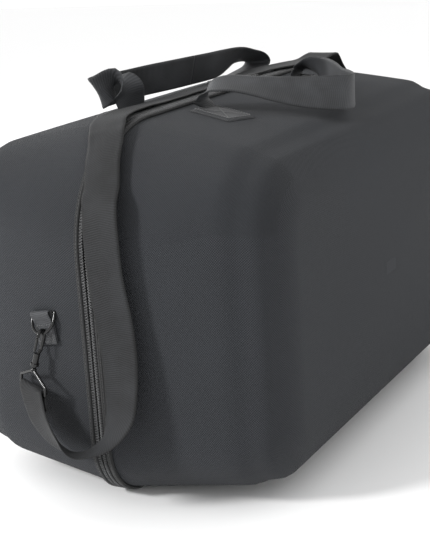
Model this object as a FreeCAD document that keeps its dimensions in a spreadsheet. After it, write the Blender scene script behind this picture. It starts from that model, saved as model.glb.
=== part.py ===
import FreeCAD, Part
import math
import os
import Sketcher
from FreeCAD import Placement, Rotation, Vector

# Hard-shell carry case in two zipped halves. Millimetres.
# X runs along the case, Y across its depth (the front half is on -Y), Z is up.
# The origin is under the middle of the hinge band, on the plane of the zip.

SIZES = {
    "zip_length": 600, "zip_top": 360, "zip_bottom": 3,
    "zip_round_top": 112, "zip_round_bottom": 60,
    "half_depth": 181, "rim_start": 6, "wall_thick": 5,
    "inset_side": 26, "inset_top": 28, "inset_bottom": 16,
    "face_round_top": 66, "face_round_bottom": 62, "face_fillet": 50,
    "chain_start": 0.7, "chain_end": 4.6, "chain_low": 1.6, "chain_high": 2.9,
    "tape_start": 0.9, "tape_end": 10.5, "tape_low": 0.1, "tape_high": 1.5,
    "welt_start": 6, "welt_high": 3,
    "binding_start": 1.2, "binding_depth": 5,
    "hinge_length": 400, "hinge_thick": 1.2, "hinge_overlap": 1, "hinge_gap": 2.4,
    "webbing_width": 38, "webbing_thick": 2,
    "pad_length": 54, "pad_thick": 3, "pad_along": 122, "pad_across": 57, "pad_slant": 18,
    "backing_thick": 2, "backing_margin": 6,
    "tab_width": 24, "tab_length": 30, "tab_thick": 3, "tab_across": 52, "tab_up": 176,
    "tab_tilt": 10, "fold_radius": 3.4,
    "ring_wire": 1.5, "ring_inner": 26, "ring_leg": 6, "ring_lean": 27,
    "hook_wire": 1.7, "hook_radius": 5.6, "hook_tilt": 15, "hook_lean": 8,
    "bail_width": 42, "bail_drop": 19, "bail_leg": 8, "bail_wire": 1.6, "bail_turn": 23, "bail_tilt": 8,
    "loop_tail": 14,
    "slider_length": 13, "slider_width": 11, "slider_thick": 2, "slider_post": 0.8,
    "slider_near_x": 36, "slider_far_x": 52, "pull_length": 24, "pull_width": 7,
}

doc = FreeCAD.newDocument("carry_case")
sheet = doc.addObject("Spreadsheet::Sheet", "Sizes")
for row, (alias, value) in enumerate(SIZES.items(), start=1):
    sheet.set(f"A{row}", alias)
    sheet.set(f"B{row}", str(value))
    sheet.setAlias(f"B{row}", alias)
doc.recompute()

pieces = []


def size(alias):
    return float(getattr(sheet, alias))


def keep(thing, label):
    thing.Label = label
    pieces.append(thing)
    return thing


def bind(thing, **expressions):
    for name, text in expressions.items():
        thing.setExpression(name, text)
    return thing


# ---------------------------------------------------------------- outlines and rings
def upright_sketch(body, name, distance):
    """A sketch on the case's XZ plane, moved an expression's distance towards +Y."""
    sketch = body.newObject("Sketcher::SketchObject", name)
    plane = [f for f in body.Origin.OriginFeatures if f.Role == "XZ_Plane"][0]
    sketch.AttachmentSupport = (plane, [""])
    sketch.MapMode = "FlatFace"
    sketch.setExpression(".AttachmentOffset.Base.z", f"-({distance})")
    return sketch


def add_outline(sketch, half, top, height, round_top, round_bottom):
    """Rounded rectangle: every argument is an expression on the sheet's cells."""
    def value(text):
        return sketch.evalExpression(text)

    hx, zt, rt, rb = value(half), value(top), value(round_top), value(round_bottom)
    zb = zt - value(height)
    first = sketch.GeometryCount
    corners = [
        (Vector(rb - hx, zb), Vector(hx - rb, zb), Vector(hx - rb, zb + rb), rb, -90),
        (Vector(hx, zb + rb), Vector(hx, zt - rt), Vector(hx - rt, zt - rt), rt, 0),
        (Vector(hx - rt, zt), Vector(rt - hx, zt), Vector(rt - hx, zt - rt), rt, 90),
        (Vector(-hx, zt - rt), Vector(-hx, zb + rb), Vector(rb - hx, zb + rb), rb, 180),
    ]
    for start, end, centre, radius, turn in corners:
        circle = Part.Circle(centre, Vector(0, 0, 1), radius)
        sketch.addGeometry(Part.LineSegment(start, end))
        sketch.addGeometry(Part.ArcOfCircle(circle, math.radians(turn), math.radians(turn + 90)))
    for step in range(8):
        after = first + (step + 1) % 8
        sketch.addConstraint(Sketcher.Constraint("Tangent", first + step, 2, after, 1))
    for line, kind in ((0, "Horizontal"), (2, "Vertical"), (4, "Horizontal"), (6, "Vertical")):
        sketch.addConstraint(Sketcher.Constraint(kind, first + line))
    sketch.addConstraint(Sketcher.Constraint("Equal", first + 1, first + 7))
    sketch.addConstraint(Sketcher.Constraint("Equal", first + 3, first + 5))
    dims = [
        (("Radius", first + 1, rb), round_bottom),
        (("Radius", first + 3, rt), round_top),
        (("DistanceX", -1, 1, first + 2, 1, hx), half),
        (("DistanceX", first + 6, 1, -1, 1, hx), half),
        (("DistanceY", -1, 1, first + 4, 1, zt), top),
        (("DistanceY", first, 1, first + 4, 2, zt - zb), height),
    ]
    for arguments, text in dims:
        index = sketch.addConstraint(Sketcher.Constraint(*arguments))
        sketch.setExpression(f"Constraints[{index}]", text)


def zip_outline(sketch, out):
    """The zip's outline, grown outwards by an expression."""
    add_outline(
        sketch,
        f"Sizes.zip_length / 2 + ({out})",
        f"Sizes.zip_top + ({out})",
        f"Sizes.zip_top - Sizes.zip_bottom + 2 * ({out})",
        f"Sizes.zip_round_top + ({out})",
        f"Sizes.zip_round_bottom + ({out})",
    )


def ring(name, low, high, start, end):
    """A band round the case between two offsets of the zip's outline, open over the hinge."""
    body = doc.addObject("PartDesign::Body", name)
    sketch = upright_sketch(body, f"{name}_outline", end)
    zip_outline(sketch, low)
    zip_outline(sketch, high)
    pad = body.newObject("PartDesign::Pad", f"{name}_pad")
    pad.Profile = sketch
    pad.setExpression("Length", f"({end}) - ({start})")
    doc.recompute()
    cut = body.newObject("Sketcher::SketchObject", f"{name}_hinge_gap")
    plane = [f for f in body.Origin.OriginFeatures if f.Role == "XY_Plane"][0]
    cut.AttachmentSupport = (plane, [""])
    cut.MapMode = "FlatFace"
    reach = size("hinge_length") / 2 + 1
    depth = size("tape_end") + 5
    path = [Vector(-reach, -1), Vector(reach, -1), Vector(reach, depth), Vector(-reach, depth)]
    for here, there in zip(path, path[1:] + path[:1]):
        cut.addGeometry(Part.LineSegment(here, there))
    for corner in range(4):
        cut.addConstraint(Sketcher.Constraint("Coincident", corner, 2, (corner + 1) % 4, 1))
    pocket = body.newObject("PartDesign::Pocket", f"{name}_gap")
    pocket.Profile = cut
    pocket.Midplane = True
    pocket.setExpression("Length", "2 * Sizes.zip_round_bottom")
    doc.recompute()
    return body


def mirrored(source, label):
    """The same piece on the front half."""
    copy = doc.addObject("Part::Mirroring", label)
    copy.Source = source
    copy.Normal = Vector(0, 1, 0)
    copy.Base = Vector(0, 0, 0)
    return keep(copy, label)


# ---------------------------------------------------------------- moulded half shells
ROUNDING_STEPS = 8


def half_solid(name, skin):
    """A half's tapered block with a rounded face, shrunk by the skin's thickness."""
    body = doc.addObject("PartDesign::Body", name)
    rim = upright_sketch(body, f"{name}_rim", "Sizes.rim_start")
    zip_outline(rim, f"-({skin})")
    bend = f"(Sizes.face_fillet - ({skin}))"
    start = "(Sizes.half_depth - Sizes.face_fillet)"
    sections = []
    for step in range(ROUNDING_STEPS + 1):
        angle = math.radians(90 * step / ROUNDING_STEPS)
        level = f"({start} + {bend} * {math.sin(angle):.6f})"
        taper = f"(({level} - Sizes.rim_start) / (Sizes.half_depth - Sizes.rim_start))"
        shrink = f"({bend} * {1 - math.cos(angle):.6f} + ({skin}))"
        face = upright_sketch(body, f"{name}_section_{step}", level)
        add_outline(
            face,
            f"Sizes.zip_length / 2 - Sizes.inset_side * {taper} - {shrink}",
            f"Sizes.zip_top - Sizes.inset_top * {taper} - {shrink}",
            f"Sizes.zip_top - Sizes.zip_bottom"
            f" - (Sizes.inset_top + Sizes.inset_bottom) * {taper} - 2 * {shrink}",
            f"Sizes.face_round_top - {shrink}",
            f"Sizes.face_round_bottom - {shrink}",
        )
        sections.append(face)
    loft = body.newObject("PartDesign::AdditiveLoft", f"{name}_loft")
    loft.Profile = rim
    loft.Sections = sections
    loft.Ruled = True
    doc.recompute()
    return body


outer = half_solid("back_outside", "0")
inner = half_solid("back_inside", "Sizes.wall_thick")
back_shell = doc.addObject("Part::Cut", "back_shell")
back_shell.Base = outer
back_shell.Tool = inner
keep(back_shell, "back_shell")
mirrored(back_shell, "front_shell")

# ---------------------------------------------------------------- zip, binding and hinge band
tape_flat = ring("tape_flat", "Sizes.tape_low", "Sizes.tape_high", "Sizes.tape_start", "Sizes.tape_end")
tape_welt = ring("tape_welt", "Sizes.tape_high", "Sizes.welt_high", "Sizes.welt_start", "Sizes.tape_end")
tape = doc.addObject("Part::Fuse", "back_zip_tape")
tape.Base = tape_flat
tape.Tool = tape_welt
keep(tape, "back_zip_tape")
mirrored(tape, "front_zip_tape")

chain = ring("chain", "Sizes.chain_low", "Sizes.chain_high", "Sizes.chain_start", "Sizes.chain_end")
mirrored(keep(chain, "back_zip_chain"), "front_zip_chain")

binding = ring("binding", "-Sizes.binding_depth", "0", "Sizes.binding_start", "Sizes.rim_start - 0.02")
mirrored(keep(binding, "back_rim_binding"), "front_rim_binding")


def plain_box(name, length, width, height):
    box = doc.addObject("Part::Box", name)
    return bind(box, Length=length, Width=width, Height=height)


hinge_back = plain_box(
    "hinge_band_back", "Sizes.hinge_length", "Sizes.tape_end + Sizes.hinge_overlap", "Sizes.hinge_thick"
)
bind(hinge_back, **{
    ".Placement.Base.x": "-Sizes.hinge_length / 2",
    ".Placement.Base.y": "-Sizes.hinge_overlap",
})
keep(hinge_back, "hinge_band_back")
hinge_front = plain_box(
    "hinge_band_front", "Sizes.hinge_length", "Sizes.tape_end - Sizes.hinge_gap", "Sizes.hinge_thick"
)
bind(hinge_front, **{
    ".Placement.Base.x": "-Sizes.hinge_length / 2",
    ".Placement.Base.y": "-Sizes.tape_end",
})
keep(hinge_front, "hinge_band_front")


def hinge_filler(name, start):
    """The band's doubled part, between the rim's binding and the underside."""
    box = plain_box(
        name, "Sizes.hinge_length", "Sizes.tape_end - Sizes.rim_start",
        "Sizes.zip_bottom - Sizes.hinge_thick - 0.05",
    )
    bind(box, **{
        ".Placement.Base.x": "-Sizes.hinge_length / 2",
        ".Placement.Base.y": start,
        ".Placement.Base.z": "Sizes.hinge_thick",
    })
    return box


keep(hinge_filler("hinge_welt_back", "Sizes.rim_start"), "hinge_welt_back")
keep(hinge_filler("hinge_welt_front", "-Sizes.tape_end"), "hinge_welt_front")

# ---------------------------------------------------------------- handle end pads
run = size("half_depth") - size("rim_start")
TOP_SLOPE = math.degrees(math.atan2(size("inset_top"), run))
SIDE_SLOPE = math.degrees(math.atan2(size("inset_side"), run))


def top_height(across):
    """Height of a shell's top wall at a distance from the zip's plane."""
    return size("zip_top") - size("inset_top") * (abs(across) - size("rim_start")) / run


def pad(label, near, side, margin, thick, lift):
    """A flat piece on a shell's top wall: near is -1 or 1 along X, side is -1 or 1 along Y."""
    box = doc.addObject("Part::Box", label)
    wide = size("webbing_width") + margin
    deep = size("pad_length") + margin
    bind(box, Length=f"Sizes.webbing_width + {margin}", Width=f"Sizes.pad_length + {margin}", Height=thick)
    turn = Rotation(Vector(1, 0, 0), -side * TOP_SLOPE)
    turn = turn * Rotation(Vector(0, 0, 1), -near * side * size("pad_slant"))
    across = side * size("pad_across")
    middle = Vector(near * size("pad_along"), across, top_height(across))
    corner = turn.multVec(Vector(-wide / 2, -deep / 2, lift))
    box.Placement = Placement(middle + corner, turn)
    return keep(box, label)


for side, half in ((1, "back"), (-1, "front")):
    for near, place in ((-1, "near"), (1, "far")):
        pad(f"{half}_handle_pad_{place}", near, side, 0, "Sizes.pad_thick", 0.05)
        below = -size("wall_thick") - size("backing_thick") - 0.1
        pad(f"{half}_handle_backing_{place}", near, side, size("backing_margin"),
            "Sizes.backing_thick", below)


# ---------------------------------------------------------------- webbing
def between(values, index, share):
    """A smooth curve through a list of vectors, at a share of the way from one to the next."""
    last = len(values) - 1
    before, start = values[max(index - 1, 0)], values[index]
    end, after = values[index + 1], values[min(index + 2, last)]
    straight = start * 2 + (end - before) * share
    bend = (before * 2 - start * 5 + end * 4 - after) * share ** 2
    turn = (start * 3 - before - end * 3 + after) * share ** 3
    return (straight + bend + turn) * 0.5


def patch(first, second, third, fourth):
    """A four-cornered face with straight edges."""
    surface = Part.BSplineSurface()
    surface.buildFromPolesMultsKnots(
        [[first, second], [fourth, third]], (2, 2), (2, 2), (0, 1), (0, 1), False, False, 1, 1)
    return surface.toShape()


def ribbon(label, sections, width, thick, steps=1):
    """A flat strap through hand-placed sections, each a centre and the direction of its width."""
    centres = [Vector(*centre) for centre, _ in sections]
    widths = [Vector(*across).normalize() for _, across in sections]
    stations = []
    for index in range(len(sections) - 1):
        for step in range(steps):
            share = step / steps
            stations.append((between(centres, index, share), between(widths, index, share)))
    stations.append((centres[-1], widths[-1]))
    outlines = []
    last = len(stations) - 1
    for index, (middle, wide) in enumerate(stations):
        along = (stations[min(index + 1, last)][0] - stations[max(index - 1, 0)][0]).normalize()
        wide = (wide - along * wide.dot(along)).normalize()
        half_wide = wide * (width / 2)
        half_deep = along.cross(wide) * (thick / 2)
        outlines.append([middle - half_wide - half_deep, middle + half_wide - half_deep,
                         middle + half_wide + half_deep, middle - half_wide + half_deep])
    faces = [Part.Face(Part.makePolygon(ends + ends[:1])) for ends in (outlines[0], outlines[-1])]
    for near, far in zip(outlines, outlines[1:]):
        for corner in range(4):
            following = (corner + 1) % 4
            faces.append(patch(near[corner], near[following], far[following], far[corner]))
    shell = Part.Shell(faces)
    shell.sewShape()
    solid = Part.Solid(shell)
    if solid.Volume < 0:
        solid.reverse()
    strap = doc.addObject("Part::Feature", label)
    strap.Shape = solid
    return keep(strap, label)


FRONT_HANDLE = [
    ((-110, -33, 361), (1, 0, 0)),
    ((-108, -31, 370), (0.97, 0.2, 0.1)),
    ((-104, -38, 379), (0.92, 0.3, 0.25)),
    ((-96, -54, 381), (0.85, 0.4, 0.35)),
    ((-84, -73, 377), (0.8, 0.38, 0.45)),
    ((-70, -99, 371), (0.65, 0.33, 0.68)),
    ((-54, -130, 366), (0.4, 0.2, 0.9)),
    ((-36, -152, 364), (0.1, 0.1, 1)),
    ((-14, -154, 363), (0, 0, 1)),
    ((10, -140, 363), (0, 0, 1)),
    ((38, -120, 362), (-0.1, -0.1, 1)),
    ((66, -98, 365), (-0.2, -0.3, 0.9)),
    ((92, -76, 367), (-0.5, -0.4, 0.7)),
    ((110, -54, 369), (-0.8, -0.4, 0.4)),
    ((115, -38, 369), (-0.95, -0.2, 0.2)),
    ((114.5, -33.5, 362.8), (-1, 0, 0)),
]
BACK_HANDLE = [
    ((-110, 54, 359.6), (0.95, -0.3, 0)),
    ((-113, 53, 367), (0.9, -0.42, 0)),
    ((-118, 52, 376), (0.83, -0.55, -0.05)),
    ((-123, 55, 384), (0.85, -0.3, -0.25)),
    ((-129, 61, 387), (0.81, 0.1, -0.5)),
    ((-138, 68, 385), (0.45, 0.2, -0.85)),
    ((-149, 73, 381), (0.2, 0.15, -0.97)),
    ((-155, 82, 378), (0.1, 0.1, -0.98)),
    ((-147, 90, 376), (0.2, 0.15, -0.97)),
    ((-122, 89, 375), (0.3, 0.2, -0.95)),
    ((-90, 84, 375), (0.3, 0.2, -0.95)),
    ((-50, 76, 376), (0.3, 0.2, -0.93)),
    ((5, 68, 376), (0.3, 0.2, -0.93)),
    ((66, 60, 376), (0.36, 0.25, -0.9)),
    ((104, 59, 376), (0.36, 0.35, -0.86)),
    ((138, 60, 377), (0.3, 0.6, -0.74)),
    ((164, 62, 376), (0.15, 0.85, -0.5)),
    ((180, 63, 372), (0, 0.95, -0.3)),
    ((186, 64, 366), (0, 1, -0.1)),
    ((178, 64, 360), (0, 1, -0.05)),
    ((156, 63.5, 356.6), (0, 1, -0.1)),
    ((136, 63, 356), (0, 1, -0.16)),
    ((122, 62, 356), (0, 1, -0.16)),
]
STRAP = [
    ((-319, 57, 94), (-0.45, -0.84, 0.3)),
    ((-321, 49, 84), (-0.5, -0.75, 0.42)),
    ((-324, 36, 74), (-0.6, -0.6, 0.53)),
    ((-327, 18, 66), (-0.85, -0.3, 0.4)),
    ((-327, 0, 68), (-0.9, -0.4, 0.15)),
    ((-324, -16, 77), (-0.7, -0.7, 0.2)),
    ((-321, -28, 92), (-0.4, -0.9, 0.2)),
    ((-318, -35, 108), (-0.2, -0.95, 0.2)),
    ((-316, -37, 130), (-0.1, -1, 0.15)),
    ((-314, -37, 165), (0.05, -1, 0.1)),
    ((-313, -33, 200), (0.1, -1, 0.1)),
    ((-312, -28, 236), (0, -1, 0.1)),
    ((-311, -26, 271), (0, -1, 0.1)),
    ((-305, -23, 299), (-0.05, -1, 0.05)),
    ((-291, -16, 319), (-0.1, -1, 0)),
    ((-274, -8, 335), (-0.15, -1, 0)),
    ((-256, -1, 347), (-0.2, -1, 0)),
    ((-236, 8, 356), (-0.2, -1, 0.05)),
    ((-208, 19, 363), (-0.15, -1, 0.1)),
    ((-165, 25, 364), (0, -1, 0.12)),
    ((-110, 25.5, 363), (0, -1, 0.12)),
    ((-40, 25.5, 363), (0, -1, 0.12)),
    ((30, 25.5, 363), (0, -1, 0.12)),
    ((100, 25, 363.5), (-0.05, -1, 0.1)),
    ((140, 19, 366), (-0.15, -1, 0.05)),
    ((180, 6, 367), (-0.2, -1, 0)),
    ((215, -5, 367), (-0.1, -1, 0)),
    ((243, -9, 370), (0, -1, 0)),
    ((264, -6, 371), (0, -1, 0)),
    ((284, -6, 362), (0, -1, 0)),
    ((300, -14, 342), (0, -1, 0)),
    ((309, -21, 312), (0, -1, 0)),
    ((312, -26, 276), (0, -1, 0.1)),
    ((313, -31, 238), (0, -1, 0.1)),
    ((313, -35, 200), (-0.1, -1, 0.1)),
    ((314, -37, 165), (-0.05, -1, 0.1)),
    ((316, -37, 130), (0.1, -1, 0.15)),
    ((318, -35, 108), (0.2, -0.95, 0.2)),
    ((321, -28, 92), (0.4, -0.9, 0.2)),
    ((324, -16, 77), (0.7, -0.7, 0.2)),
    ((327, 0, 68), (0.9, -0.4, 0.15)),
    ((327, 18, 66), (0.85, -0.3, 0.4)),
    ((324, 36, 74), (0.6, -0.6, 0.53)),
    ((321, 49, 84), (0.5, -0.75, 0.42)),
    ((319, 57, 94), (0.45, -0.84, 0.3)),
]
HANDLE_WIDTH = size("webbing_width") - 4
ribbon("front_handle_webbing", FRONT_HANDLE, HANDLE_WIDTH, size("webbing_thick"))
ribbon("back_handle_webbing", BACK_HANDLE, HANDLE_WIDTH, size("webbing_thick"), steps=2)
ribbon("shoulder_strap_webbing", STRAP, size("webbing_width"), size("webbing_thick"))


# ---------------------------------------------------------------- rings, hooks and their tabs
def rod(name, start, end, radius):
    """A round wire between two points."""
    bar = doc.addObject("Part::Cylinder", name)
    along = Vector(*end) - Vector(*start)
    bar.Radius = radius
    bar.Height = along.Length
    bar.Placement = Placement(Vector(*start), Rotation(Vector(0, 0, 1), along))
    return bar


def bent(name, centre, axis, start, sweep, major, minor):
    """A wire bent to an arc: start is the direction of the arc's first point."""
    arc = doc.addObject("Part::Torus", name)
    arc.Radius1 = major
    arc.Radius2 = minor
    arc.Angle3 = sweep
    normal = Vector(*axis).normalize()
    first = Vector(*start).normalize()
    arc.Placement = Placement(Vector(*centre), Rotation(first, normal.cross(first), normal, "XYZ"))
    return arc


def knob(name, centre, radius):
    ball = doc.addObject("Part::Sphere", name)
    ball.Radius = radius
    ball.Placement = Placement(Vector(*centre), Rotation())
    return ball


def joined(label, members, place):
    fused = doc.addObject("Part::MultiFuse", label)
    fused.Shapes = members
    doc.recompute()
    fused.Placement = place
    return keep(fused, label)


def side_place(end):
    """Frame of a ring tab: local -X leaves the end wall, local -Z runs down the tab."""
    across = size("tab_across")
    inset = size("inset_side") * (across - size("rim_start")) / run
    middle = Vector(end * (size("zip_length") / 2 - inset), across, size("tab_up"))
    spin = Rotation(Vector(0, 0, 1), end * SIDE_SLOPE)
    if end > 0:
        spin = spin * Rotation(Vector(0, 0, 1), 180)
    return Placement(middle, spin * Rotation(Vector(1, 0, 0), end * size("tab_tilt")))


def ring_tab(place_name, end):
    """Webbing tab sewn to the end wall, folded over the ring's bar."""
    label = f"ring_tab_{place_name}"
    long, thick, wide = size("tab_length"), size("tab_thick"), size("tab_width")
    reach, fold = size("fold_radius"), long / 2
    flat = plain_box(f"{label}_flat", "Sizes.tab_thick", "Sizes.tab_width", "Sizes.tab_length")
    flat.Placement = Placement(Vector(-thick - 0.1, -wide / 2, -long / 2), Rotation())
    roll = rod(f"{label}_roll", (-reach - 0.1, -wide / 2, fold), (-reach - 0.1, wide / 2, fold), reach)
    whole = doc.addObject("Part::Fuse", f"{label}_whole")
    whole.Base = flat
    whole.Tool = roll
    bore = rod(
        f"{label}_bore", (-reach - 0.1, -wide, fold), (-reach - 0.1, wide, fold), size("ring_wire") + 0.15
    )
    tab = doc.addObject("Part::Cut", label)
    tab.Base = whole
    tab.Tool = bore
    doc.recompute()
    tab.Placement = side_place(end)
    return keep(tab, label)


def ring_backing(place_name, end):
    """Stiffener inside the shell behind the tab's stitching."""
    label = f"ring_tab_backing_{place_name}"
    box = plain_box(label, "Sizes.backing_thick", "Sizes.tab_width + 12", "Sizes.tab_length + 10")
    shift = Vector(size("wall_thick") + 0.12, -size("tab_width") / 2 - 6, -size("tab_length") / 2 - 5)
    box.Placement = side_place(end) * Placement(shift, Rotation())
    return keep(box, label)


def ring_place(end):
    """Frame of the D-ring: origin on its bar, local -Z down the ring, which leans off the wall."""
    bar = Vector(-size("fold_radius") - 0.1, 0, size("tab_length") / 2)
    return side_place(end) * Placement(bar, Rotation(Vector(0, 1, 0), size("ring_lean")))


def d_ring(place_name, end):
    label = f"d_ring_{place_name}"
    wire = size("ring_wire")
    half = size("ring_inner") / 2 + wire
    leg = size("ring_leg")
    members = [
        rod(f"{label}_bar", (0, -half, 0), (0, half, 0), wire),
        rod(f"{label}_leg_a", (0, -half, 0), (0, -half, -leg), wire),
        rod(f"{label}_leg_b", (0, half, 0), (0, half, -leg), wire),
        bent(f"{label}_bow", (0, 0, -leg), (1, 0, 0), (0, -1, 0), 180, half, wire),
        knob(f"{label}_corner_a", (0, -half, 0), wire),
        knob(f"{label}_corner_b", (0, half, 0), wire),
    ]
    return joined(label, members, ring_place(end))


HOOK_NECK = 30.0
HOOK_FOOT = 6.0
SHANK_START = 3.0
SHANK_RADIUS = 3.1
COLLAR = 2.4
COLLAR_RADIUS = 4.2
SWIVEL_REACH = 4.6
POST_RADIUS = 2.2
APEX_RADIUS = 3.0
BAIL_APEX = HOOK_NECK + COLLAR + SWIVEL_REACH
GATE_DROP = 17.0
GATE_RADIUS = 1.3
GATE_FOOT = 1.2
GATE_GAP = 0.25
RING_PLAY = 0.6
LOOP_GAP = 0.25
LOOP_WALL = 1.6


def hook_place(end):
    """Frame of the snap hook: origin at the ring's lowest wire, local -Z down the hook."""
    low = size("ring_leg") + size("ring_inner") / 2 + size("ring_wire")
    middle = ring_place(end).multVec(Vector(0, 0, -low))
    spin = Rotation(Vector(0, 0, 1), 0 if end < 0 else 180)
    spin = spin * Rotation(Vector(1, 0, 0), -end * size("hook_tilt"))
    return Placement(middle, spin * Rotation(Vector(0, 1, 0), size("hook_lean")))


def bail_place(end):
    """Frame of the strap's bail: origin at its apex on the hook's swivel post."""
    apex = hook_place(end).multVec(Vector(0, 0, -BAIL_APEX))
    spin = Rotation(Vector(0, 0, 1), 0 if end < 0 else 180)
    spin = spin * Rotation(Vector(1, 0, 0), -end * size("bail_tilt"))
    return Placement(apex, spin * Rotation(Vector(0, 0, 1), end * size("bail_turn")))


def snap_hook(place_name, end):
    """Hook whose mouth faces away from the wall, with a tapered shank and a swivel post."""
    label = f"snap_hook_{place_name}"
    wire, bend = size("hook_wire"), size("hook_radius")
    drop = bend - wire - size("ring_wire") - RING_PLAY
    members = [
        bent(f"{label}_bow", (0, 0, -drop), (0, -1, 0), (1, 0, 0), 180, bend, wire),
        rod(f"{label}_spine", (bend, 0, -drop), (bend, 0, -GATE_DROP), wire),
        knob(f"{label}_heel", (bend, 0, -GATE_DROP), wire),
        rod(f"{label}_foot", (bend, 0, -GATE_DROP), (0, 0, -GATE_DROP - HOOK_FOOT), wire),
        knob(f"{label}_tip", (-bend, 0, -drop), wire),
        rod(f"{label}_shank", (0, 0, -GATE_DROP - SHANK_START), (0, 0, -HOOK_NECK), SHANK_RADIUS),
        rod(f"{label}_collar", (0, 0, -HOOK_NECK), (0, 0, -HOOK_NECK - COLLAR), COLLAR_RADIUS),
        rod(f"{label}_post", (0, 0, -HOOK_NECK), (0, 0, APEX_RADIUS - BAIL_APEX), POST_RADIUS),
    ]
    return joined(label, members, hook_place(end))


def gate(place_name, end):
    """Sprung gate that closes the hook's mouth."""
    label = f"hook_gate_{place_name}"
    bend = size("hook_radius")
    low = GATE_DROP - GATE_FOOT
    high = bend - size("ring_wire") - RING_PLAY + GATE_GAP
    members = [
        rod(f"{label}_bar", (-bend, 0, -low), (-bend, 0, -high), GATE_RADIUS),
        knob(f"{label}_foot", (-bend, 0, -low), GATE_RADIUS),
    ]
    return joined(label, members, hook_place(end))


def bail(place_name, end):
    """Swivelling triangular loop that carries the strap."""
    label = f"strap_bail_{place_name}"
    wire, half = size("bail_wire"), size("bail_width") / 2
    low = size("bail_drop")
    high = low - size("bail_leg")
    members = [
        knob(f"{label}_apex", (0, 0, 0), APEX_RADIUS),
        rod(f"{label}_slope_a", (0, 0, 0), (0, -half, -high), wire),
        rod(f"{label}_slope_b", (0, 0, 0), (0, half, -high), wire),
        knob(f"{label}_elbow_a", (0, -half, -high), wire),
        knob(f"{label}_elbow_b", (0, half, -high), wire),
        rod(f"{label}_leg_a", (0, -half, -high), (0, -half, -low), wire),
        rod(f"{label}_leg_b", (0, half, -high), (0, half, -low), wire),
        rod(f"{label}_bar", (0, -half, -low), (0, half, -low), wire),
        knob(f"{label}_corner_a", (0, -half, -low), wire),
        knob(f"{label}_corner_b", (0, half, -low), wire),
    ]
    return joined(label, members, bail_place(end))


def strap_end(place_name, end):
    """Sewn end loop of the strap, hanging round the bail's bar."""
    label = f"strap_end_{place_name}"
    wire, wide, low = size("bail_wire"), size("webbing_width"), size("bail_drop")
    outer_radius = wire + LOOP_GAP + LOOP_WALL
    roll = rod(f"{label}_roll", (0, -wide / 2, -low), (0, wide / 2, -low), outer_radius)
    flat = plain_box(f"{label}_flat", "2 * Sizes.webbing_thick", "Sizes.webbing_width", "Sizes.loop_tail")
    tail = Vector(-size("webbing_thick"), -wide / 2, -low - wire - LOOP_GAP - size("loop_tail"))
    flat.Placement = Placement(tail, Rotation())
    whole = doc.addObject("Part::Fuse", f"{label}_whole")
    whole.Base = roll
    whole.Tool = flat
    bore = rod(f"{label}_bore", (0, -wide, -low), (0, wide, -low), wire + LOOP_GAP)
    loop = doc.addObject("Part::Cut", label)
    loop.Base = whole
    loop.Tool = bore
    doc.recompute()
    loop.Placement = bail_place(end)
    return keep(loop, label)


for end, place_name in ((-1, "near"), (1, "far")):
    for maker in (ring_tab, ring_backing, d_ring, snap_hook, gate, bail, strap_end):
        maker(place_name, end)

# ---------------------------------------------------------------- zip sliders
BRIDGE_HALF = 4.0
BRIDGE_HIGH = 2.9
BRIDGE_WIRE = 0.9
PULL_THICK = 1.2
EYE_LONG = 5.2
EYE_WIDE = 3.6
EYE_BAR = 1.0
PULL_LIFT = 0.3
PLATE_GAP = 0.3
SIDE_WALL = 0.7
SIDE_GAP = 0.2
SKIRT = 1.6
SKIRT_DROP = 1.5
POST_LONG = 3.0
PIVOT_REACH = 0.4


def slider(place_name, direction):
    """Slider over the coil: plate, divider post between the chains, side wall and pull bridge."""
    label = f"zip_slider_{place_name}"
    middle = size(f"slider_{place_name}_x")
    long, wide, thick = size("slider_length"), size("slider_width"), size("slider_thick")
    base = size("zip_top") + size("chain_high") + PLATE_GAP
    plate = plain_box(f"{label}_plate", "Sizes.slider_length", "Sizes.slider_width", "Sizes.slider_thick")
    plate.Placement = Placement(Vector(middle - long / 2, -wide / 2, base), Rotation())
    wall = plain_box(f"{label}_wall", "Sizes.slider_length", str(SIDE_WALL), str(SKIRT))
    wall_start = Vector(middle - long / 2, size("chain_end") + SIDE_GAP, base - SKIRT_DROP)
    wall.Placement = Placement(wall_start, Rotation())
    post = plain_box(f"{label}_post", str(POST_LONG), "Sizes.slider_post", str(SKIRT))
    tip = middle + direction * (long - POST_LONG) / 2 - POST_LONG / 2
    post.Placement = Placement(Vector(tip, -size("slider_post") / 2, base - SKIRT_DROP), Rotation())
    high = base + thick
    members = [plate, wall, post]
    crown = high + BRIDGE_HIGH
    for sign in (-1, 1):
        foot = middle + sign * BRIDGE_HALF
        members.append(rod(f"{label}_leg_{sign}", (foot, 0, high - 0.2), (foot, 0, crown), BRIDGE_WIRE))
        members.append(knob(f"{label}_bend_{sign}", (foot, 0, crown), BRIDGE_WIRE))
    span = (middle - BRIDGE_HALF, 0, crown), (middle + BRIDGE_HALF, 0, crown)
    members.append(rod(f"{label}_span", *span, BRIDGE_WIRE))
    return joined(label, members, Placement())


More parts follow.
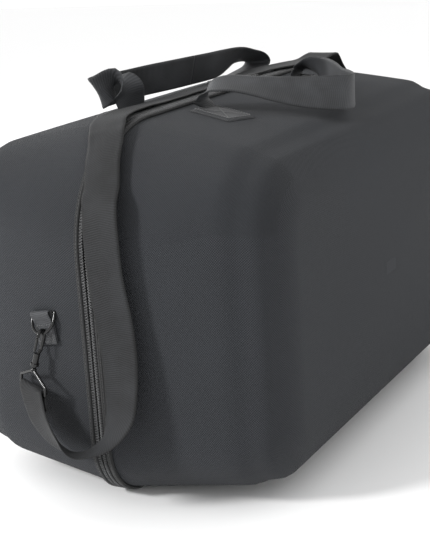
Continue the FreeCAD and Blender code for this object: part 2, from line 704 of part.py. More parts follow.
def pull(place_name, direction):
    """Pull tab hung in the slider's bridge, lying along the zip."""
    label = f"zip_pull_{place_name}"
    middle = size(f"slider_{place_name}_x")
    long, wide = size("pull_length"), size("pull_width")
    level = size("zip_top") + size("chain_high") + PLATE_GAP + size("slider_thick") + PULL_LIFT
    start = middle + direction * PIVOT_REACH
    low = min(start, start + direction * long)
    blank = plain_box(f"{label}_blank", "Sizes.pull_length", "Sizes.pull_width", str(PULL_THICK))
    blank.Placement = Placement(Vector(low, -wide / 2, level), Rotation())
    eye = plain_box(f"{label}_eye", str(EYE_LONG), str(EYE_WIDE), "4")
    eye_low = start + EYE_BAR if direction > 0 else start - EYE_BAR - EYE_LONG
    eye.Placement = Placement(Vector(eye_low, -EYE_WIDE / 2, level - 1), Rotation())
    tab = doc.addObject("Part::Cut", label)
    tab.Base = blank
    tab.Tool = eye
    return keep(tab, label)


for place_name, direction in (("near", -1), ("far", 1)):
    slider(place_name, direction)
    pull(place_name, direction)

# ---------------------------------------------------------------- checks and export
doc.recompute()
for thing in doc.Objects:
    if {"Invalid", "Error"} & set(thing.State):
        raise RuntimeError(f"{thing.Label} did not compute: {thing.State}")
os.makedirs("parts", exist_ok=True)
for thing in pieces:
    shape = thing.Shape
    if shape.isNull() or not shape.isValid() or shape.Volume <= 0:
        raise RuntimeError(f"{thing.Label} has no sound shape")
    shape.exportStep(f"parts/{thing.Label}.step")
    print(f"{thing.Label}: {len(shape.Solids)} solid, {shape.Volume / 1000:.1f} cm3")
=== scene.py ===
import bisect
import math

import bpy
from mathutils import Matrix, Vector, noise


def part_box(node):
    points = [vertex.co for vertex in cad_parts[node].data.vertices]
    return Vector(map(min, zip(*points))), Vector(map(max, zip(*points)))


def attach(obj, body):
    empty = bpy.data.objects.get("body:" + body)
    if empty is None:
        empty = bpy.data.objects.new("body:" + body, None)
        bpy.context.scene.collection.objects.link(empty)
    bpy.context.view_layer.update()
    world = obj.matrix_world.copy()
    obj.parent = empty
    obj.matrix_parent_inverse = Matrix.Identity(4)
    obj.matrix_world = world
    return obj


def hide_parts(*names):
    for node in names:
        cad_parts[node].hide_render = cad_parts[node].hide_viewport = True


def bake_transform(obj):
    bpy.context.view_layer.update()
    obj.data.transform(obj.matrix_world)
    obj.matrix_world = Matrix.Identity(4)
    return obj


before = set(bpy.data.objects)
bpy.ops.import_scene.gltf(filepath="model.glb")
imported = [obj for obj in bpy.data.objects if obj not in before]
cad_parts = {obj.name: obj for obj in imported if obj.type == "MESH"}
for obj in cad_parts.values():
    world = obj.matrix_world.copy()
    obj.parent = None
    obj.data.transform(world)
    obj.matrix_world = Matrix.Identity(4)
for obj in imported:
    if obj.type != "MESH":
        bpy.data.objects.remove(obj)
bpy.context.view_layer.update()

# Shapes are worked out in millimetres, in the frame's axes, and become metres as each mesh is made.
MM = 0.001
ZIP_HALF, ZIP_TOP, ZIP_BOTTOM = 300.0, 360.0, 3.0
ZIP_ROUND_TOP, ZIP_ROUND_BOTTOM = 112.0, 60.0
HALF_DEPTH, RIM, WALL = 181.0, 6.0, 5.0
INSET_SIDE, INSET_TOP, INSET_BOTTOM = 26.0, 28.0, 16.0
FACE_ROUND_TOP, FACE_ROUND_BOTTOM, FACE_FILLET = 66.0, 62.0, 50.0
HINGE_HALF = 200.0
WEBBING = 38.0
WEB_THICK = 1.7
RUN = HALF_DEPTH - RIM


# ---------------------------------------------------------------- camera, floor and light
CAMERA_ANGLES = (-61.59, 15.1, -3.61)  # Azimuth, elevation and roll, in degrees.
CAMERA_TARGET = (-0.01175, 0.02161, 0.16031)
CAMERA_DISTANCE = 1.4941
CAMERA_LENS = 89.0
WORLD_LIGHT = 1.02
FLOOR_HALF = 6
FLOOR_GREY = 0.96


def make_camera():
    azimuth, elevation, roll = (math.radians(a) for a in CAMERA_ANGLES)
    target = Vector(CAMERA_TARGET)
    back = Vector((math.sin(azimuth) * math.cos(elevation),
                   -math.cos(azimuth) * math.cos(elevation), math.sin(elevation)))
    right = (-back).cross(Vector((0, 0, 1))).normalized()
    up = right.cross(-back)
    across = right * math.cos(roll) + up * math.sin(roll)
    upward = up * math.cos(roll) - right * math.sin(roll)
    data = bpy.data.cameras.new("camera")
    data.lens = CAMERA_LENS
    data.sensor_width = 36.0
    data.clip_end = 50.0
    camera = bpy.data.objects.new("camera", data)
    bpy.context.scene.collection.objects.link(camera)
    camera.matrix_world = Matrix.Translation(target + back * CAMERA_DISTANCE) @ Matrix(
        (across, upward, back)).transposed().to_4x4()
    bpy.context.scene.camera = camera


def area_light(name, place, aim, size, power):
    data = bpy.data.lights.new(name, "AREA")
    data.shape = "DISK"
    data.size = size
    data.energy = power
    light = bpy.data.objects.new(name, data)
    bpy.context.scene.collection.objects.link(light)
    light.location = place
    light.rotation_euler = (Vector(aim) - Vector(place)).to_track_quat("-Z", "Y").to_euler()


def make_stage():
    world = bpy.data.worlds.new("studio")
    bpy.context.scene.world = world
    world.use_nodes = True
    shade = world.node_tree.nodes["Background"]
    shade.inputs["Color"].default_value = (1, 1, 1, 1)
    shade.inputs["Strength"].default_value = WORLD_LIGHT
    bpy.context.scene.view_settings.view_transform = "Standard"
    mesh = bpy.data.meshes.new("floor")
    corners = [(x * FLOOR_HALF, y * FLOOR_HALF, 0) for x, y in ((-1, -1), (1, -1), (1, 1), (-1, 1))]
    mesh.from_pydata(corners, [], [(0, 1, 2, 3)])
    floor = bpy.data.objects.new("floor", mesh)
    bpy.context.scene.collection.objects.link(floor)
    paint = bpy.data.materials.new("floor_paint")
    paint.use_nodes = True
    shader = paint.node_tree.nodes["Principled BSDF"]
    shader.inputs["Base Color"].default_value = (FLOOR_GREY, FLOOR_GREY, FLOOR_GREY, 1)
    shader.inputs["Roughness"].default_value = 0.9
    shader.inputs["Specular IOR Level"].default_value = 0.1
    floor.data.materials.append(paint)
    area_light("key", (-1.9, 1.3, 1.35), (-0.2, 0, 0.2), 0.45, 48)
    area_light("rim_light", (0.9, 2.2, 1.0), (0, 0, 0.35), 1.2, 14)
    area_light("front_fill", (-0.6, -2.4, 0.8), (0, -0.1, 0.15), 1.6, 2)


# ---------------------------------------------------------------- materials
class Shader:
    """A material under construction: short names for the node calls that every fabric repeats."""

    def __init__(self, name):
        self.material = bpy.data.materials.new(name)
        self.material.use_nodes = True
        self.nodes = self.material.node_tree.nodes
        self.links = self.material.node_tree.links
        self.out = self.nodes["Principled BSDF"]

    def set(self, **values):
        for name, value in values.items():
            self.out.inputs[name.replace("_", " ")].default_value = value
        return self

    def feed(self, socket, value):
        if hasattr(value, "links"):
            self.links.new(value, socket)
        else:
            socket.default_value = value

    def math(self, operation, a, b=0.0):
        node = self.nodes.new("ShaderNodeMath")
        node.operation = operation
        self.feed(node.inputs[0], a)
        self.feed(node.inputs[1], b)
        return node.outputs[0]

    def cloth(self):
        """Distances along the cloth's two threads, in millimetres."""
        node = self.nodes.new("ShaderNodeAttribute")
        node.attribute_name = "cloth"
        split = self.nodes.new("ShaderNodeSeparateXYZ")
        self.links.new(node.outputs["Vector"], split.inputs[0])
        return split.outputs[0], split.outputs[1]

    def place(self):
        node = self.nodes.new("ShaderNodeTexCoord")
        return node.outputs["Object"]

    def noise(self, scale, detail=3.0, rough=0.5, vector=None):
        node = self.nodes.new("ShaderNodeTexNoise")
        node.inputs["Scale"].default_value = scale
        node.inputs["Detail"].default_value = detail
        node.inputs["Roughness"].default_value = rough
        self.links.new(vector or self.place(), node.inputs["Vector"])
        return node.outputs["Fac"]

    def wave(self, distance, pitch):
        return self.math("SINE", self.math("MULTIPLY", distance, 2 * math.pi / pitch))

    def ramp(self, value, stops):
        node = self.nodes.new("ShaderNodeValToRGB")
        while len(node.color_ramp.elements) < len(stops):
            node.color_ramp.elements.new(0.5)
        for element, (position, grey, tint) in zip(node.color_ramp.elements, stops):
            element.position = position
            element.color = (grey * (1 - tint), grey, grey * (1 + 2 * tint), 1)
        self.feed(node.inputs[0], value)
        return node.outputs[0]

    def bump(self, height, distance, strength=1.0, under=None):
        node = self.nodes.new("ShaderNodeBump")
        node.inputs["Distance"].default_value = distance
        node.inputs["Strength"].default_value = strength
        self.feed(node.inputs["Height"], height)
        if under is not None:
            self.links.new(under, node.inputs["Normal"])
        return node.outputs[0]

    def colour(self, value):
        self.links.new(value, self.out.inputs["Base Color"])

    def normal(self, value):
        self.links.new(value, self.out.inputs["Normal"])

    def roughness(self, low, high, value):
        node = self.nodes.new("ShaderNodeMapRange")
        self.feed(node.inputs["Value"], value)
        node.inputs["To Min"].default_value = low
        node.inputs["To Max"].default_value = high
        self.links.new(node.outputs[0], self.out.inputs["Roughness"])


def plain_weave(shader, pitch):
    """Height of a plain weave: warp and weft take turns on top."""
    across, along = shader.cloth()
    warp = shader.wave(across, pitch)
    weft = shader.wave(along, pitch)
    return shader.math("MULTIPLY", warp, weft)


def shell_cloth(name, dark, light, pitch=2.3):
    """Woven polyester laminated over moulded foam."""
    shader = Shader(name)
    weave = plain_weave(shader, pitch)
    blotch = shader.noise(7.0, 4.0, 0.6)
    fleck = shader.noise(900.0, 2.0, 0.5)
    mix = shader.math("ADD", shader.math("MULTIPLY", weave, 0.6), shader.math("MULTIPLY", blotch, 0.55))
    mix = shader.math("ADD", mix, shader.math("MULTIPLY", fleck, 0.35))
    shader.colour(shader.ramp(mix, [(0.1, dark, 0.05), (0.8, light, 0.07)]))
    shader.roughness(0.72, 0.9, blotch)
    soft = shader.bump(shader.noise(38.0, 4.0, 0.55), 0.0012, 0.35)
    shader.normal(shader.bump(weave, 0.0004, 0.9, soft))
    shader.set(Sheen_Weight=0.05, Sheen_Roughness=0.5, Specular_IOR_Level=0.14)
    return shader.material


def webbing_cloth(name, dark, light, gloss):
    """Ribbed nylon webbing: fine slanted ribs that turn back halfway across, and bound edges."""
    shader = Shader(name)
    across, along = shader.cloth()
    fold = shader.math("ABSOLUTE", across)
    slant = shader.math("ADD", along, shader.math("MULTIPLY", fold, 0.22))
    ribs = shader.wave(slant, 2.1)
    yarn = shader.wave(across, 1.5)
    weave = shader.math("ADD", shader.math("MULTIPLY", ribs, 0.75), shader.math("MULTIPLY", yarn, 0.25))
    edge = shader.math("MAXIMUM", shader.math("SUBTRACT", fold, WEBBING / 2 - 3.5), 0.0)
    patch = shader.noise(18.0, 3.0, 0.6)
    tone = shader.math("ADD", shader.math("MULTIPLY", weave, 0.16), patch)
    tone = shader.math("SUBTRACT", tone, shader.math("MULTIPLY", edge, 0.08))
    shader.colour(shader.ramp(tone, [(0.25, dark, 0.02), (0.75, light, 0.04)]))
    shader.roughness(gloss, gloss + 0.2, patch)
    shader.normal(shader.bump(weave, 0.00013, 0.9))
    shader.set(Sheen_Weight=0.04, Sheen_Roughness=0.4, Specular_IOR_Level=0.22)
    return shader.material


def tape_cloth(name, dark, light):
    """Herringbone tape of the zip and the hinge."""
    shader = Shader(name)
    across, along = shader.cloth()
    bone = shader.math("ADD", along, shader.math("PINGPONG", across, 1.6))
    weave = shader.wave(bone, 1.1)
    patch = shader.noise(40.0)
    tone = shader.math("ADD", shader.math("MULTIPLY", weave, 0.2), patch)
    shader.colour(shader.ramp(tone, [(0.2, dark, 0.0), (0.9, light, 0.03)]))
    shader.roughness(0.6, 0.8, patch)
    shader.normal(shader.bump(weave, 0.0002, 0.8))
    shader.set(Sheen_Weight=0.1, Sheen_Roughness=0.5, Specular_IOR_Level=0.3)
    return shader.material


def thread_cloth(name, grey):
    shader = Shader(name)
    twist = shader.noise(2500.0, 2.0)
    shader.colour(shader.ramp(twist, [(0.2, grey * 0.7, 0.0), (0.8, grey * 1.3, 0.02)]))
    shader.normal(shader.bump(twist, 0.0001, 0.6))
    shader.set(Roughness=0.55, Sheen_Weight=0.3)
    return shader.material


def black_metal(name):
    """Black lacquered metal, with a few lighter rubbed flecks scattered at random."""
    shader = Shader(name)
    wear = shader.noise(320.0, 5.0, 0.7)
    shader.colour(shader.ramp(wear, [(0.3, 0.004, 0.0), (0.66, 0.009, 0.02), (0.85, 0.05, 0.02)]))
    shader.roughness(0.08, 0.24, shader.noise(180.0, 4.0))
    shader.normal(shader.bump(shader.noise(700.0, 2.0), 0.00003, 0.5))
    shader.set(Metallic=0.0, Specular_IOR_Level=0.4)
    return shader.material


def moulded_plastic(name, dark, light, rough):
    shader = Shader(name)
    grain = shader.noise(1400.0, 3.0)
    shader.colour(shader.ramp(shader.noise(60.0), [(0.2, dark, 0.0), (0.8, light, 0.02)]))
    shader.roughness(rough, rough + 0.15, grain)
    shader.normal(shader.bump(grain, 0.00006, 0.7))
    shader.set(Specular_IOR_Level=0.5)
    return shader.material


# ---------------------------------------------------------------- meshes
def make_piece(name, points, faces, cloth=None, material=None, inner=None):
    """A smooth mesh from millimetre points. cloth gives each face corner its place on the flat cloth."""
    mesh = bpy.data.meshes.new(name)
    mesh.from_pydata([Vector(p) * MM for p in points], [], faces)
    if cloth is not None:
        layer = mesh.attributes.new("cloth", "FLOAT_VECTOR", "CORNER")
        flat = [c for face in cloth for c in face]
        for corner, (u, v) in enumerate(flat):
            layer.data[corner].vector = (u, v, 0)
    piece = bpy.data.objects.new(name, mesh)
    bpy.context.scene.collection.objects.link(piece)
    piece.data.materials.append(material)
    mesh.polygons.foreach_set("use_smooth", [len(face) == 4 for face in faces])
    if inner is not None:
        piece.data.materials.append(inner[0])
        for index in inner[1]:
            mesh.polygons[index].material_index = 1
    return piece


class Patchwork:
    """Points, faces and cloth places gathered for one mesh."""

    def __init__(self):
        self.points, self.faces, self.cloth = [], [], []

    def grid(self, rows, cloth_rows, closed_across=False, flip=False, change=None):
        """Faces between rows of points.

        With closed_across, each row is a loop, and its cloth row has one more place than it has points.
        change is a row number and the cloth places used from that row on.
        """
        base = len(self.points)
        wide = len(rows[0])
        for row in rows:
            self.points.extend(row)
        spans = wide if closed_across else wide - 1
        for r in range(len(rows) - 1):
            if change and r == change[0]:
                cloth_rows = change[1]
            for c in range(spans):
                d = (c + 1) % wide
                face = [base + r * wide + c, base + r * wide + d,
                        base + (r + 1) * wide + d, base + (r + 1) * wide + c]
                place = [cloth_rows[r][c], cloth_rows[r][c + 1],
                         cloth_rows[r + 1][c + 1], cloth_rows[r + 1][c]]
                if flip:
                    face.reverse()
                    place.reverse()
                self.faces.append(face)
                self.cloth.append(place)
        return base

    def cap(self, indices, place=(0.0, 0.0), flip=False):
        face = list(reversed(indices)) if flip else list(indices)
        self.faces.append(face)
        self.cloth.append([place] * len(face))

    def tube(self, path, radius, sides):
        """A round wire or thread along points, capped at both ends."""
        rows, cloth_rows = [], []
        travel = 0.0
        side = None
        for i, point in enumerate(path):
            ahead = path[min(i + 1, len(path) - 1)] - path[max(i - 1, 0)]
            ahead.normalize()
            if side is None:
                side = ahead.orthogonal().normalized()
            side = (side - ahead * side.dot(ahead)).normalized()
            other = ahead.cross(side)
            if i:
                travel += (point - path[i - 1]).length
            row, places = [], []
            for k in range(sides):
                turn = 2 * math.pi * k / sides
                row.append(point + (side * math.cos(turn) + other * math.sin(turn)) * radius)
            for k in range(sides + 1):
                places.append((2 * math.pi * radius * k / sides, travel))
            rows.append(row)
            cloth_rows.append(places)
        base = self.grid(rows, cloth_rows, closed_across=True)
        self.cap([base + k for k in range(sides)], flip=True)
        self.cap([base + (len(rows) - 1) * sides + k for k in range(sides)])

    def build(self, name, material):
        return make_piece(name, self.points, self.faces, self.cloth, material)


def smooth(value):
    value = min(1.0, max(0.0, value))
    return value * value * (3 - 2 * value)


# ---------------------------------------------------------------- outlines of the shells
CORNER_STEPS = 14


def outline(half, top, bottom, round_top, round_bottom):
    """A rounded rectangle from the bottom's middle, anticlockwise: x, z and outward normal."""
    found = []

    def line(ax, az, bx, bz, steps, nx, nz):
        for k in range(steps):
            f = k / steps
            found.append((ax + (bx - ax) * f, az + (bz - az) * f, nx, nz))

    def arc(cx, cz, radius, start):
        for k in range(CORNER_STEPS):
            a = math.radians(start + 90 * k / CORNER_STEPS)
            found.append((cx + radius * math.cos(a), cz + radius * math.sin(a), math.cos(a), math.sin(a)))

    rb, rt = round_bottom, round_top
    line(0, bottom, half - rb, bottom, 20, 0, -1)
    arc(half - rb, bottom + rb, rb, -90)
    line(half, bottom + rb, half, top - rt, 18, 1, 0)
    arc(half - rt, top - rt, rt, 0)
    line(half - rt, top, rt - half, top, 40, 0, 1)
    arc(rt - half, top - rt, rt, 90)
    line(-half, top - rt, -half, bottom + rb, 18, -1, 0)
    arc(rb - half, bottom + rb, rb, 180)
    line(rb - half, bottom, 0, bottom, 20, 0, -1)
    return found


def section(level, shrink):
    """A shell's outline at a distance from the zip's plane, moved in by shrink."""
    taper = (level - RIM) / RUN
    start = min(1.0, taper / 0.7)
    round_top = ZIP_ROUND_TOP + (FACE_ROUND_TOP - ZIP_ROUND_TOP) * start
    round_bottom = ZIP_ROUND_BOTTOM + (FACE_ROUND_BOTTOM - ZIP_ROUND_BOTTOM) * start
    return outline(
        ZIP_HALF - INSET_SIDE * taper - shrink,
        ZIP_TOP - INSET_TOP * taper - shrink,
        ZIP_BOTTOM + INSET_BOTTOM * taper + shrink,
        max(6.0, round_top - shrink),
        max(6.0, round_bottom - shrink),
    )


def bow(x, z, level):
    """How far a shell's wall swells at a place, in millimetres."""
    taper = (level - RIM) / RUN
    swell = math.sin(math.pi * min(1.0, taper / 0.86)) if taper < 0.86 else 0.0
    side = max(0.0, 1 - ((z - 175) / 150) ** 4)
    top = max(0.0, 1 - (x / 250) ** 4)
    end = 1.0 if abs(x) > 240 else 0.0
    reach = 5.0 * side * end + (2.2 * top if z > 250 else 0.0) * (1 - end * side)
    return swell * reach


def valley(level):
    """The shallow groove and the low ridge that run round a shell just before its face."""
    groove = math.exp(-((level - 143) / 9.0) ** 2)
    ridge = math.exp(-((level - 161) / 5.0) ** 2)
    return 2.2 * ridge - 3.2 * groove


def wall_height(across, x=0.0):
    """Height of a shell's top wall, swell included."""
    level = abs(across)
    flat = ZIP_TOP - INSET_TOP * (level - RIM) / RUN
    return flat + bow(x, 340.0, level) + valley(level)


WALL_STEPS = 22
BEND_STEPS = 14
FACE_STEPS = 15
FACE_CLOTH_ROW = 31  # From this ring on, about two thirds round the bend, cloth places are the face's.
FACE_CROWN = 3.2
FACE_MIDDLE = 175
RIM_CLOTH_STEP = 9.0


def shell_rows(skin):
    """Rings of points over a half's surface, from the rim to the middle of its face, on +Y."""
    rows = []
    straight = HALF_DEPTH - FACE_FILLET - RIM
    levels = [(RIM + straight * k / WALL_STEPS, skin) for k in range(WALL_STEPS + 1)]
    bend = FACE_FILLET - skin
    for k in range(1, BEND_STEPS + 1):
        angle = math.radians(90 * k / BEND_STEPS)
        level = HALF_DEPTH - FACE_FILLET + bend * math.sin(angle)
        levels.append((level, bend * (1 - math.cos(angle)) + skin))
    for level, shrink in levels:
        ring = []
        for x, z, nx, nz in section(level, shrink):
            lift = bow(x, z, level) + valley(level)
            face_share = smooth((level - 150) / 40)
            ring.append(Vector((x + nx * lift * (1 - face_share * 0.5), level + face_share * lift * 0.3,
                                z + nz * lift * (1 - face_share * 0.5))))
        rows.append(ring)
    rim = rows[-1]
    middle = Vector((0, rim[0].y, FACE_MIDDLE))
    for k in range(1, FACE_STEPS):
        share = (k / FACE_STEPS) ** 0.9
        crown = Vector((0, FACE_CROWN * math.sin(share * math.pi / 2) ** 1.5, 0))
        rows.append([middle.lerp(p, 1 - share) + crown for p in rim])
    return rows


def cloth_places(rows):
    """The flat cloth under rings of points: distance round the rim, and distance from it."""
    around = [0.0]
    first = rows[0]
    for k in range(len(first)):
        around.append(around[-1] + (first[(k + 1) % len(first)] - first[k]).length)
    places = []
    depth = 0.0
    for r, row in enumerate(rows):
        if r:
            depth += (row[len(row) // 2] - rows[r - 1][len(row) // 2]).length
        places.append([(a, depth) for a in around])
    return places


def face_places(rows):
    """Flat cloth of the big face: plain x and z, so its threads run level and upright."""
    return [[(row[k % len(row)].x, row[k % len(row)].z) for k in range(len(row) + 1)] for row in rows]


def make_shell(side, cloth, lining):
    """One moulded half: outside, inside and the rim between them."""
    label = "back" if side > 0 else "front"
    work = Patchwork()
    outside = shell_rows(0.0)
    inside = shell_rows(WALL)
    for rows, flip in ((outside, True), (inside, False)):
        rows = [[Vector((p.x, p.y * side, p.z)) for p in row] for row in rows]
        places = cloth_places(rows)
        began = len(work.faces)
        base = work.grid(rows, places, True, flip == (side > 0), (FACE_CLOTH_ROW, face_places(rows)))
        last = [base + (len(rows) - 1) * len(rows[0]) + k for k in range(len(rows[0]))]
        work.cap(last, (0.0, FACE_MIDDLE), flip == (side > 0))
        if not flip:
            lined = list(range(began, len(work.faces)))
            inner_base = base
        else:
            outer_base = base
    count = len(outside[0])
    for k in range(count):
        d = (k + 1) % count
        face = [outer_base + k, outer_base + d, inner_base + d, inner_base + k]
        if side < 0:
            face.reverse()
        work.faces.append(face)
        here, there = k * RIM_CLOTH_STEP, (k + 1) * RIM_CLOTH_STEP
        work.cloth.append([(here, 0), (there, 0), (there, WALL), (here, WALL)])
    name = f"{label}_moulded_shell"
    shell = make_piece(name, work.points, work.faces, work.cloth, cloth, (lining, lined))
    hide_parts(f"{label}_shell")
    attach(shell, f"{label}_half")


# ---------------------------------------------------------------- zip
def zip_path(spacing):
    """Even steps along the zip from the hinge band's +X end to its -X end: x, z and outward normal."""
    ring = outline(ZIP_HALF, ZIP_TOP, ZIP_BOTTOM, ZIP_ROUND_TOP, ZIP_ROUND_BOTTOM)
    start = [HINGE_HALF, ZIP_BOTTOM, 0, -1]
    kept = [start] + [p for p in ring if not (p[3] < -0.99 and abs(p[0]) <= HINGE_HALF)]
    kept.append([-HINGE_HALF, ZIP_BOTTOM, 0, -1])
    travel = [0.0]
    for a, b in zip(kept, kept[1:]):
        travel.append(travel[-1] + math.hypot(b[0] - a[0], b[1] - a[1]))
    count = int(travel[-1] / spacing)
    found = []
    for k in range(count + 1):
        wanted = travel[-1] * k / count
        i = min(len(kept) - 2, bisect.bisect_right(travel, wanted) - 1)
        f = (wanted - travel[i]) / max(1e-9, travel[i + 1] - travel[i])
        a, b = kept[i], kept[i + 1]
        mixed = [a[n] + (b[n] - a[n]) * f for n in range(4)]
        size = math.hypot(mixed[2], mixed[3])
        found.append((mixed[0], mixed[1], mixed[2] / size, mixed[3] / size, wanted))
    return found


def swept(side, profile, spacing, wobble=0.0):
    """A closed profile of (out, across) points swept along the zip, with capped ends."""
    work = Patchwork()
    rows, places = [], []
    girth = [0.0]
    loop = profile + profile[:1]
    for a, b in zip(loop, loop[1:]):
        girth.append(girth[-1] + math.hypot(b[0] - a[0], b[1] - a[1]))
    for x, z, nx, nz, travel in zip_path(spacing):
        shift = wobble * noise.noise(Vector((travel / 60.0, 3.0, side)))
        rows.append([Vector((x + nx * (o + shift), side * a, z + nz * (o + shift))) for o, a in profile])
        places.append([(g, travel) for g in girth])
    base = work.grid(rows, places, True, side > 0)
    count = len(profile)
    work.cap([base + k for k in range(count)], flip=side < 0)
    work.cap([base + (len(rows) - 1) * count + k for k in range(count)], flip=side > 0)
    return work


TAPE_PROFILE = [(0.12, 1.0), (1.2, 1.0), (1.35, 4.9), (1.5, 5.5), (2.3, 5.75), (2.9, 6.3), (3.05, 7.3),
                (2.95, 8.1), (2.55, 8.35), (2.95, 8.6), (3.0, 9.4), (2.5, 10.2), (1.2, 10.5), (0.2, 10.4)]
BINDING_PROFILE = [(-5.0, 1.25), (-0.3, 1.25), (0.02, 2.0), (0.02, 5.9), (-5.0, 5.9), (-5.3, 3.6)]
COIL_PITCH = 2.6


def make_zip(side, tape, coil, thread):
    label = "back" if side > 0 else "front"
    made = [
        ("zip_tape_cloth", swept(side, TAPE_PROFILE, 5.0, 0.12), tape, f"{label}_zip_tape", "zip_tape"),
        ("rim_tape", swept(side, BINDING_PROFILE, 6.0), tape, f"{label}_rim_binding", "binding"),
    ]
    teeth = Patchwork()
    path = []
    for x, z, nx, nz, travel in zip_path(COIL_PITCH / 10):
        turn = 2 * math.pi * travel / COIL_PITCH + (math.pi if side < 0 else 0)
        out = 2.15 + 0.55 * math.cos(turn)
        across = 2.55 + 1.65 * math.sin(turn)
        path.append(Vector((x + nx * out, side * across, z + nz * out)))
    teeth.tube(path, 0.5, sides=5)
    made.append(("zip_coil", teeth, coil, f"{label}_zip_chain", "zip_coil"))
    for name, work, material, node, slot in made:
        piece = work.build(f"{label}_{name}", material)
        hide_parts(node)
        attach(piece, f"{label}_half")
    seam = Patchwork()
    for row, (out, across) in enumerate(((1.35, 5.15), (2.62, 8.35))):
        stitch_line(seam, [Vector((x + nx * out, side * across, z + nz * out))
                           for x, z, nx, nz, _ in zip_path(3.6)], 0.26, row * 0.5)
    piece = seam.build(f"{label}_zip_stitches", thread)
    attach(piece, f"{label}_half")


def stitch_line(work, path, radius, phase=0.0, share=0.62, lift=None):
    """Separate stitches between the points of a path, each a short thread that dips at both ends."""
    up = lift or Vector((0, 0, 0))
    for a, b in zip(path, path[1:]):
        start = a.lerp(b, 0.5 - share / 2 + phase * 0.05)
        end = a.lerp(b, 0.5 + share / 2 + phase * 0.05)
        work.tube([start - up * radius, start.lerp(end, 0.25) + up * radius * 0.7,
                   start.lerp(end, 0.75) + up * radius * 0.7, end - up * radius], radius, sides=5)


# ---------------------------------------------------------------- webbing
def rail(sections, spacing):
    """Even stations along given sections: centre, width direction, thickness direction, travel."""
    centres = [Vector(c) for c, _ in sections]
    wides = [Vector(w).normalized() for _, w in sections]
    last = len(centres) - 1

    def spline(values, i, f):
        p0, p1 = values[max(i - 1, 0)], values[i]
        p2, p3 = values[i + 1], values[min(i + 2, last)]
        return (p1 * 2 + (p2 - p0) * f + (p0 * 2 - p1 * 5 + p2 * 4 - p3) * f * f
                + (p1 * 3 - p0 - p2 * 3 + p3) * f ** 3) * 0.5

    fine = []
    for i in range(last):
        for k in range(24):
            fine.append((spline(centres, i, k / 24), spline(wides, i, k / 24)))
    fine.append((centres[-1], wides[-1]))
    travel = [0.0]
    for a, b in zip(fine, fine[1:]):
        travel.append(travel[-1] + (b[0] - a[0]).length)
    count = max(2, int(travel[-1] / spacing))
    placed = []
    for k in range(count + 1):
        wanted = travel[-1] * k / count
        i = min(len(fine) - 2, bisect.bisect_right(travel, wanted) - 1)
        f = (wanted - travel[i]) / max(1e-9, travel[i + 1] - travel[i])
        placed.append((fine[i][0].lerp(fine[i + 1][0], f), fine[i][1].lerp(fine[i + 1][1], f), wanted))
    stations = []
    for k, (centre, wide, wanted) in enumerate(placed):
        ahead = placed[min(k + 1, count)][0] - placed[max(k - 1, 0)][0]
        ahead.normalize()
        wide = (wide - ahead * wide.dot(ahead)).normalized()
        stations.append((centre, wide, ahead.cross(wide), wanted))
    return stations


ACROSS = 12


def web_mesh(stations, width=WEBBING, thick=WEB_THICK, ripple=0.35, seed=0.0):
    """Webbing with rounded, bound edges over the stations of a rail."""
    work = Patchwork()
    rows, places = [], []
    half = width / 2
    for centre, wide, deep, travel in stations:
        upper, lower, marks = [], [], []
        for k in range(ACROSS + 1):
            place = -1 + 2 * k / ACROSS
            place = math.copysign(abs(place) ** 0.8, place)
            u = place * (half - 0.2)
            edge = abs(place)
            deepness = thick / 2 * (1 - 0.45 * smooth((edge - 0.86) / 0.14))
            deepness += 0.16 * smooth((edge - 0.78) / 0.06) * (1 - smooth((edge - 0.9) / 0.06))
            wave = ripple * noise.noise(Vector((u / 22.0, travel / 26.0, seed)))
            upper.append(centre + wide * u + deep * (deepness + wave))
            lower.append(centre + wide * u + deep * (wave - deepness))
            marks.append(u)
        rim_a = centre + wide * half
        rim_b = centre - wide * half
        rows.append(upper + [rim_a] + lower[::-1] + [rim_b])
        places.append([(u, travel) for u in marks + [half] + marks[::-1] + [-half, marks[0]]])
    base = work.grid(rows, places, True, True)
    count = len(rows[0])
    work.cap([base + k for k in range(count)])
    work.cap([base + (len(rows) - 1) * count + k for k in range(count)], flip=True)
    return work


FRONT_HANDLE = [
    ((-113, -34.5, 357.4), (1, -0.1, 0)),
    ((-110, -32.5, 362), (1, 0, 0)),
    ((-108, -31, 370), (0.97, 0.2, 0.1)),
    ((-104, -38, 379), (0.92, 0.3, 0.25)),
    ((-96, -54, 381), (0.85, 0.4, 0.35)),
    ((-84, -73, 377), (0.8, 0.38, 0.45)),
    ((-70, -99, 371), (0.65, 0.33, 0.68)),
    ((-54, -130, 366), (0.4, 0.2, 0.9)),
    ((-36, -152, 364), (0.1, 0.1, 1)),
    ((-14, -154, 363), (0, 0, 1)),
    ((10, -140, 363), (0, 0, 1)),
    ((38, -120, 362), (-0.1, -0.1, 1)),
    ((66, -98, 365), (-0.2, -0.3, 0.9)),
    ((92, -76, 367), (-0.5, -0.4, 0.7)),
    ((110, -54, 369), (-0.8, -0.4, 0.4)),
    ((115, -38, 369), (-0.95, -0.2, 0.2)),
    ((113, -33, 362), (-1, 0, 0)),
    ((113.5, -34.5, 357.4), (-1, -0.1, 0)),
]
